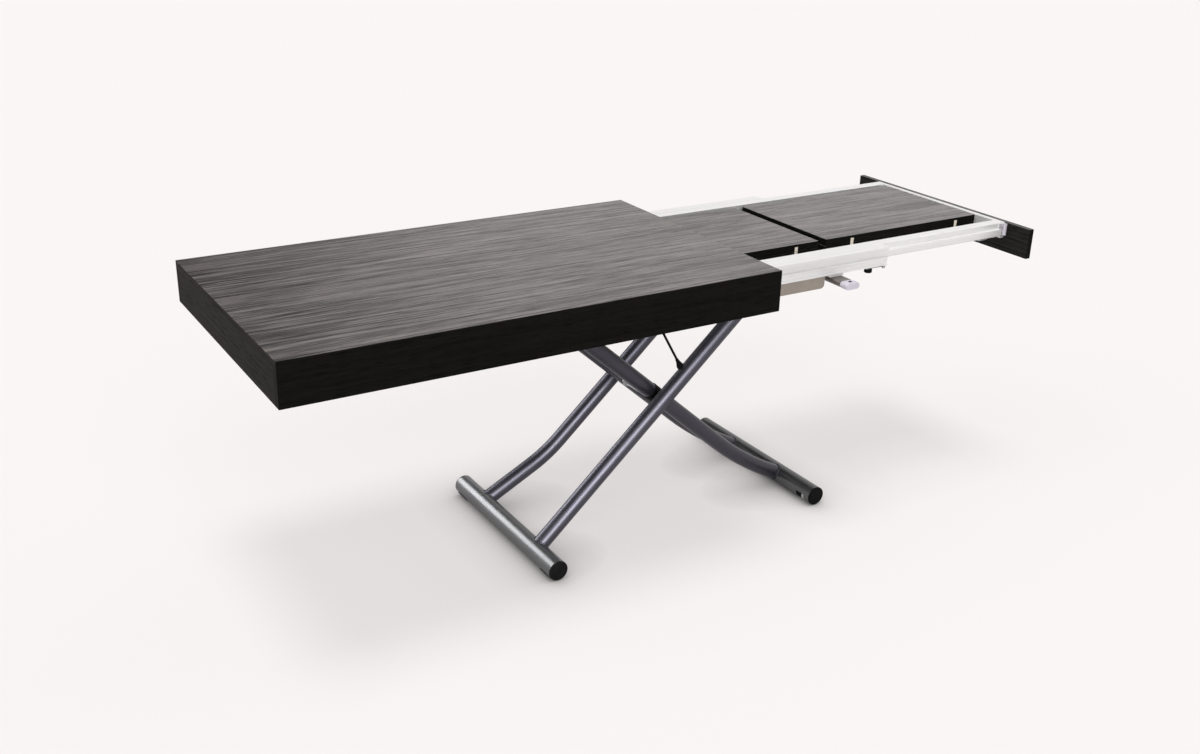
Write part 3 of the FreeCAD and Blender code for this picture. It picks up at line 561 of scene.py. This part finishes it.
def veneered(node, up, side, end):
    """Rebuild a board; up is for faces that look up, end for those along the table, side for the rest."""
    mesh = flat_copy(node)
    for finish in (up, side, end):
        mesh.materials.append(finish)
    # Faces that look up take the lighter copy, painted light from above; the rest take darker ones, painted
    # shade
    for face in mesh.polygons:
        if face.normal.z > LOOKS_UP:
            face.material_index = 0
        elif abs(face.normal.x) > LOOKS_ALONG:
            face.material_index = 2
        else:
            face.material_index = 1
    board = bpy.data.objects.new(node + "_veneered", mesh)
    scene.collection.objects.link(board)
    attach(board, nodes[node]["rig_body"])
    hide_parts(node)
    print(board.name, "has", len(mesh.polygons), "faces")


veneered("top_board", lit_veneer_top, shaded_veneer_edge, lit_veneer_edge_across)
veneered("end_panel", lit_veneer_panel_top, shaded_veneer_edge, veneer_panel)
for node in ("leaf_1_lower_board", "leaf_1_upper_board", "leaf_2_lower_board", "leaf_2_upper_board"):
    veneered(node, lit_veneer_top, shaded_veneer_edge, shaded_veneer_edge)

# %% [markdown]
# ## Turned pieces
# A turned piece is a profile spun about an axis. Blender has a Screw modifier for that. Spinning the points
# in a few lines of Python is as short, and it keeps the end points on the axis as single points. The caps
# in the feet get a ring and a moulding mark this way, and the release lever gets the drop-shaped knob of
# the picture.


# %% Turning helpers
def lathe(name, profile, steps, finish):
    """Spin (radius, height) pairs about Z; a radius of 0 makes a single point."""
    points, rings, faces = [], [], []
    for radius, height in profile:
        if radius == 0:
            rings.append([len(points)] * steps)
            points.append(Vector((0, 0, height)))
            continue
        rings.append(list(range(len(points), len(points) + steps)))
        for i in range(steps):
            angle = 2 * math.pi * i / steps
            points.append(Vector((radius * math.cos(angle), radius * math.sin(angle), height)))
    for low, high in zip(rings, rings[1:]):
        for i in range(steps):
            j = (i + 1) % steps
            faces.append(list(dict.fromkeys((low[i], low[j], high[j], high[i]))))
    mesh = bpy.data.meshes.new(name)
    mesh.from_pydata(points, [], faces)
    mesh.shade_smooth()
    mesh.materials.append(finish)
    return mesh


def one_object(name, mesh, places, sharp):
    """Set a mesh at every place, join the copies into one object, and keep edges over an angle sharp."""
    bm = bmesh.new()
    for place in places:
        part = mesh.copy()
        part.transform(place)
        bm.from_mesh(part)
        bpy.data.meshes.remove(part)
    joined = bpy.data.meshes.new(name)
    bm.to_mesh(joined)
    bm.free()
    for finish in mesh.materials:
        joined.materials.append(finish)
    joined.set_sharp_from_angle(angle=math.radians(sharp))
    piece = bpy.data.objects.new(name, joined)
    scene.collection.objects.link(piece)
    return piece


SIDES = (-1, 1)
print("turning helpers ready")

# %% Caps in the ends of the feet
CAP_LIP = 0.003
CAP_PROFILE = [
    (0, -0.012), (0.0225, -0.012), (0.0225, 0), (0.025, 0), (0.025, 0.0012), (0.0247, 0.0020),
    (0.0241, 0.0026), (0.0232, 0.0030), (0.0194, 0.0030), (0.0190, 0.0024), (0.0182, 0.0022),
    (0.0174, 0.0024), (0.0170, 0.0030), (0.0034, 0.0030), (0.0030, 0.0026), (0, 0.0025),
]
cap = lathe("foot_cap", CAP_PROFILE, steps=72, finish=black_plastic)
for node, body in (("foot_caps_left", "outer_leg_frame"), ("foot_caps_right", "inner_leg_frame")):
    low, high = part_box(node)
    middle = [(a + b) / 2 for a, b in zip(low, high)]
    places = []
    for side in SIDES:
        place = Matrix.Translation((middle[0], side * (high[1] - CAP_LIP), middle[2]))
        places.append(place @ Matrix.Rotation(-side * math.pi / 2, 4, "X"))
    caps = one_object(node + "_turned", cap, places, sharp=35)
    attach(caps, body)
    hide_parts(node)
    print(caps.name, "has", len(places), "caps")

# %% Knob of the release lever
LEVER_REACH = Vector((0.091, 0, -0.158)).normalized()
KNOB_PROFILE = [
    (0.0031, -0.0240), (0.0033, -0.0240), (0.0038, -0.0235), (0.0040, -0.0215), (0.0046, -0.0170),
    (0.0055, -0.0126), (0.0067, -0.0086), (0.0079, -0.0052), (0.0087, -0.0024), (0.0090, 0), (0.0087, 0.0022),
    (0.0076, 0.0048), (0.0055, 0.0071), (0.0030, 0.0085), (0, 0.0090),
]
low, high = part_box("lever_ball")
knob_at = (Vector(low) + Vector(high)) / 2
along_lever = LEVER_REACH.to_track_quat("Z", "Y").to_matrix().to_4x4()
drop = lathe("lever_knob", KNOB_PROFILE, steps=40, finish=black_plastic)
knob = one_object("lever_knob", drop, [Matrix.Translation(knob_at) @ along_lever], sharp=40)
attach(knob, "release_lever")
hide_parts("lever_ball")
print("lever knob at", [round(v, 3) for v in knob_at])

# %% [markdown]
# ## Screws
# Screws repeat, so they are a job for Geometry Nodes: one head, many points. The script gives the points,
# and each point carries the direction that its screw looks in. The tree cuts a cross into the head, sets a
# copy on every point, turns it to that direction and then spins it a little, because no two screws stop at
# the same angle. The spin has a fixed seed, so the result is the same each time. At the end the copies
# become one plain mesh.


# %% Geometry tree helpers
def geometry_tree(name, **inputs):
    """A tree with a Geometry input and named ones; gives the tree, its inputs and their identifiers."""
    tree = bpy.data.node_groups.new(name, "GeometryNodeTree")
    tree.interface.new_socket("Geometry", in_out="OUTPUT", socket_type="NodeSocketGeometry")
    tree.interface.new_socket("Geometry", in_out="INPUT", socket_type="NodeSocketGeometry")
    keys = {}
    for label, kind in inputs.items():
        socket = tree.interface.new_socket(label, in_out="INPUT", socket_type="NodeSocket" + kind)
        keys[label] = socket.identifier
    return tree, put(tree, "NodeGroupInput").outputs, keys


def end_tree(tree, shape, finish):
    """Make plain geometry of a shape, paint it and send it out."""
    real = put(tree, "GeometryNodeRealizeInstances", {"Geometry": shape})
    painted = put(tree, "GeometryNodeSetMaterial", {"Geometry": real.outputs[0], "Material": finish})
    put(tree, "NodeGroupOutput", {"Geometry": painted.outputs[0]})


def run_tree(tree, keys, mesh, name, **values):
    """Run a tree on a mesh and keep the result as a plain object."""
    maker = bpy.data.objects.new(name + "_maker", mesh)
    scene.collection.objects.link(maker)
    modifier = maker.modifiers.new("nodes", "NODES")
    modifier.node_group = tree
    for label, value in values.items():
        modifier[keys[label]] = value
    shape = maker.evaluated_get(bpy.context.evaluated_depsgraph_get())
    made = bpy.data.meshes.new_from_object(shape)
    maker.modifiers.remove(modifier)
    bpy.data.objects.remove(maker)
    piece = bpy.data.objects.new(name, made)
    scene.collection.objects.link(piece)
    return piece


print("geometry tree helpers ready")

# %% Screw tree
# The head has a radius of 1, so these are shares of it
CROSS_LONG = 1.15
CROSS_WIDE = 0.22
CROSS_DEEP = 0.5
CROSS_LIFT = 0.48

screw_tree, given, screw_keys = geometry_tree(
    "screws", head="Object", size="Float", spin_seed="Int", finish="Material")
head = put(screw_tree, "GeometryNodeObjectInfo", {"Object": given["head"]})
cut = put(screw_tree, "GeometryNodeMeshBoolean", {"Mesh 1": head.outputs["Geometry"]}, operation="DIFFERENCE")
for cross in ((CROSS_LONG, CROSS_WIDE, CROSS_DEEP), (CROSS_WIDE, CROSS_LONG, CROSS_DEEP)):
    cube = put(screw_tree, "GeometryNodeMeshCube", {"Size": cross})
    lifted = put(screw_tree, "GeometryNodeTransform",
                 {"Geometry": cube.outputs[0], "Translation": (0, 0, CROSS_LIFT)})
    screw_tree.links.new(lifted.outputs[0], cut.inputs["Mesh 2"])
facing = put(screw_tree, "GeometryNodeInputNamedAttribute", {"Name": "facing"}, data_type="FLOAT_VECTOR")
aimed = put(screw_tree, "FunctionNodeAlignRotationToVector", {"Vector": facing.outputs[0]}, axis="Z")
chance = put(screw_tree, "FunctionNodeRandomValue", {2: 0.0, 3: math.pi / 2, "Seed": given["spin_seed"]})
spin = put(screw_tree, "FunctionNodeAxisAngleToRotation", {"Axis": (0, 0, 1), "Angle": chance.outputs[1]})
turned = put(screw_tree, "FunctionNodeRotateRotation",
             {"Rotation": aimed.outputs[0], "Rotate By": spin.outputs[0]}, rotation_space="LOCAL")
copies = put(screw_tree, "GeometryNodeInstanceOnPoints",
             {"Points": given["Geometry"], "Instance": cut.outputs[0], "Rotation": turned.outputs[0],
              "Scale": given["size"]})
end_tree(screw_tree, copies.outputs[0], given["finish"])
print("screw tree has", len(screw_tree.nodes), "nodes")

# %% Screw helpers
HEAD_PROFILE = [
    (0, -0.02), (1.0, -0.02), (1.0, 0.16), (0.96, 0.27), (0.86, 0.37), (0.70, 0.44), (0.48, 0.48), (0, 0.50),
]
HEAD_SHARP = math.radians(30)
UP, DOWN = Vector((0, 0, 1)), Vector((0, 0, -1))
AWAY = Vector((0, 1, 0))
head_object = bpy.data.objects.new("screw_head", lathe("screw_head", HEAD_PROFILE, steps=28, finish=zinc))


def screws(name, body, spots, radius, finish, seed):
    """Set screw heads on (place, direction) pairs."""
    mesh = bpy.data.meshes.new(name)
    mesh.from_pydata([place for place, _ in spots], [], [])
    facing = mesh.attributes.new("facing", "FLOAT_VECTOR", "POINT")
    for i, (_, direction) in enumerate(spots):
        facing.data[i].vector = direction
    piece = run_tree(screw_tree, screw_keys, mesh, name,
                     head=head_object, size=radius, spin_seed=seed, finish=finish)
    piece.data.set_sharp_from_angle(angle=HEAD_SHARP)
    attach(piece, body)
    print(name, len(spots), "screws,", len(piece.data.polygons), "faces")
    return piece


def box_of(node):
    low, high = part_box(node)
    return Vector(low), Vector(high)


print("screw head has", len(head_object.data.polygons), "faces before the cross")

# %% Screws of the corner brackets
BRACKET_FACE_Y = 0.2485
BRACKET_SCREW_EDGE = 0.008

low, high = box_of("corner_brackets")
spots = []
for side in SIDES:
    for z in (low.z + BRACKET_SCREW_EDGE, high.z - BRACKET_SCREW_EDGE):
        spots.append((((low.x + high.x) / 2, side * BRACKET_FACE_Y, z), AWAY * side))
bracket_screws = screws("bracket_screws_turned", "draw_frame", spots, radius=0.0031, finish=zinc, seed=1)
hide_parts("bracket_screws")

# %% Screws of the chassis
CAP_SCREW_EDGE = 0.012
BEARER_SHARES = (0.06, 0.35, 0.65, 0.94)
HINGE_SCREW_RUNS = (0.009, 0.022)
HINGE_SCREW_DROP = 0.008
HANGER_SCREW_RISES = (0.012, 0.032)

low, high = box_of("guide_caps")
spots = [(((low.x + high.x) / 2, side * (high.y - CAP_SCREW_EDGE), high.z), UP) for side in SIDES]
screws("guide_cap_screws", "chassis", spots, radius=0.0042, finish=dark_steel, seed=2)

spots = []
low, high = box_of("bearer_far")
for side in SIDES:
    for share in BEARER_SHARES:
        spots.append(((low.x + (high.x - low.x) * share, side * (low.y + high.y) / 2, low.z), DOWN))
low, high = box_of("hinge_bracket_far")
for side in SIDES:
    for run in HINGE_SCREW_RUNS:
        spots.append(((low.x + run, side * high.y, high.z - HINGE_SCREW_DROP), AWAY * side))
low, high = box_of("track_hangers")
for side in SIDES:
    for rise in HANGER_SCREW_RISES:
        spots.append((((low.x + high.x) / 2, side * high.y, low.z + rise), AWAY * side))
screws("chassis_screws", "chassis", spots, radius=0.0045, finish=zinc, seed=3)

# %% Screws of the leaf rests
REST_SCREW_Y = 0.231
REST_SCREW_EDGE = 0.060

rest_low, _ = box_of("leaf_rests")
spots = []
for node in ("leaf_1_lower_board", "leaf_2_lower_board"):
    low, high = box_of(node)
    for x in (low.x + REST_SCREW_EDGE, high.x - REST_SCREW_EDGE):
        spots += [((x, side * REST_SCREW_Y, rest_low.z), DOWN) for side in SIDES]
screws("leaf_rest_screws", "draw_frame", spots, radius=0.004, finish=zinc, seed=4)

# %% Screws of the corner blocks
BLOCK_SCREW_EDGE = 0.018
BLOCK_FACE = 0.017

low, high = box_of("corner_blocks")
spots = []
for side in SIDES:
    slant = Vector((1, -side, 0)).normalized()
    for z in (low.z + BLOCK_SCREW_EDGE, high.z - BLOCK_SCREW_EDGE):
        spots.append(((low.x + BLOCK_FACE, side * (high.y - BLOCK_FACE), z), slant))
screws("corner_block_screws", "main_top", spots, radius=0.0042, finish=zinc, seed=5)
bpy.data.objects.remove(head_object)

# %% [markdown]
# ## Welds
# The legs are cut to sit on the round feet and are welded all round. A weld follows a path, so Geometry
# Nodes does it too: the script gives the curve in which the two tubes meet, and the tree lays a bead along
# it whose thickness rises and falls a little, as a hand weld does. The curve comes from both cylinders: a
# point on the leg's skin, at the distance from the foot's axis that is the foot's radius.

# %% Weld tree
BEAD_SIDES = 10

weld_tree, given, weld_keys = geometry_tree(
    "welds", bead="Float", ripple="Float", pitch="Float", finish="Material")
line = put(weld_tree, "GeometryNodeMeshToCurve", {"Mesh": given["Geometry"]})
along = put(weld_tree, "GeometryNodeSplineParameter")
turns = reckon(weld_tree, "DIVIDE", along.outputs["Length"], given["pitch"])
phase = reckon(weld_tree, "MULTIPLY", turns, math.pi)
bulge = reckon(weld_tree, "ABSOLUTE", reckon(weld_tree, "SINE", phase))
swell = reckon(weld_tree, "MULTIPLY_ADD", bulge, given["ripple"], 1.0)
ring = put(weld_tree, "GeometryNodeCurvePrimitiveCircle", {"Resolution": BEAD_SIDES, "Radius": given["bead"]})
bead = put(weld_tree, "GeometryNodeCurveToMesh",
           {"Curve": line.outputs[0], "Profile Curve": ring.outputs[0], "Scale": swell})
soft = put(weld_tree, "GeometryNodeSetShadeSmooth", {"Geometry": bead.outputs[0], "Shade Smooth": True})
end_tree(weld_tree, soft.outputs[0], given["finish"])
print("weld tree has", len(weld_tree.nodes), "nodes")

# %% Weld helpers
LEG_RADIUS = 0.020
FOOT_RADIUS = 0.025
WELD_POINTS = 180


def weld_path(foot, direction, y):
    """The closed curve in which a leg, leaving the foot in a direction, meets the foot's skin."""
    along = Vector((direction[0], 0, direction[1])).normalized()
    across = Vector((-along.z, 0, along.x))
    points = []
    for i in range(WELD_POINTS):
        angle = 2 * math.pi * i / WELD_POINTS
        reach = math.sqrt(FOOT_RADIUS**2 - (LEG_RADIUS * math.sin(angle)) ** 2)
        skin = LEG_RADIUS * (math.cos(angle) * AWAY + math.sin(angle) * across)
        points.append(Vector((foot[0], y, foot[1])) + along * reach + skin)
    return points


def welds(name, body, joints):
    """Lay a bead at every (foot, direction of the leg, y) joint."""
    points, edges = [], []
    for joint in joints:
        first = len(points)
        points += weld_path(*joint)
        edges += [(first + i, first + (i + 1) % WELD_POINTS) for i in range(WELD_POINTS)]
    mesh = bpy.data.meshes.new(name)
    mesh.from_pydata(points, edges, [])
    piece = run_tree(weld_tree, weld_keys, mesh, name,
                     bead=0.0021, ripple=0.22, pitch=0.0034, finish=leg_paint)
    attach(piece, body)
    print(name, len(joints), "welds,", len(piece.data.polygons), "faces")


print("a weld has", WELD_POINTS, "points")

# %% Welds between legs and feet
# The way each leg leaves its foot, in x and z
STRAIGHT_LEG = (0.5840, 0.53144)
BENT_LEG = (0.18885, 0.09631)
INNER_LEG = (-0.1269, 0.0611)
OUTER_LEG_Y = 0.142
INNER_LEG_Y = 0.099

low, high = box_of("foot_tube_left")
left_foot = ((low.x + high.x) / 2, (low.z + high.z) / 2)
low, high = box_of("foot_tube_right")
right_foot = ((low.x + high.x) / 2, low.z + FOOT_RADIUS)
welds("outer_welds", "outer_leg_frame",
      [(left_foot, STRAIGHT_LEG, -OUTER_LEG_Y), (left_foot, BENT_LEG, OUTER_LEG_Y)])
welds("inner_welds", "inner_leg_frame", [(right_foot, INNER_LEG, side * INNER_LEG_Y) for side in SIDES])

# %% [markdown]
# ## Light for the outer legs
# A photographer keeps a small lamp off the rest of a scene with barn doors. Blender has light linking for
# that: a lamp with a receiver collection lights the pieces in it and nothing else. Here that is every piece
# that moves with the outer leg frame. The inner legs stay in the shade of the top.

# %% Light for the outer legs
outer_legs = bpy.data.collections.new("outer_legs")
for piece in scene.objects:
    if piece.get("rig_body") == "outer_leg_frame":
        outer_legs.objects.link(piece)
for lamp in (leg_spot, foot_spot):
    lamp.light_linking.receiver_collection = outer_legs

# %% [markdown]
# ## Bounds
# The last cell takes the box of the finished model, leaving out the stage.

# %% Bounds
low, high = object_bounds()
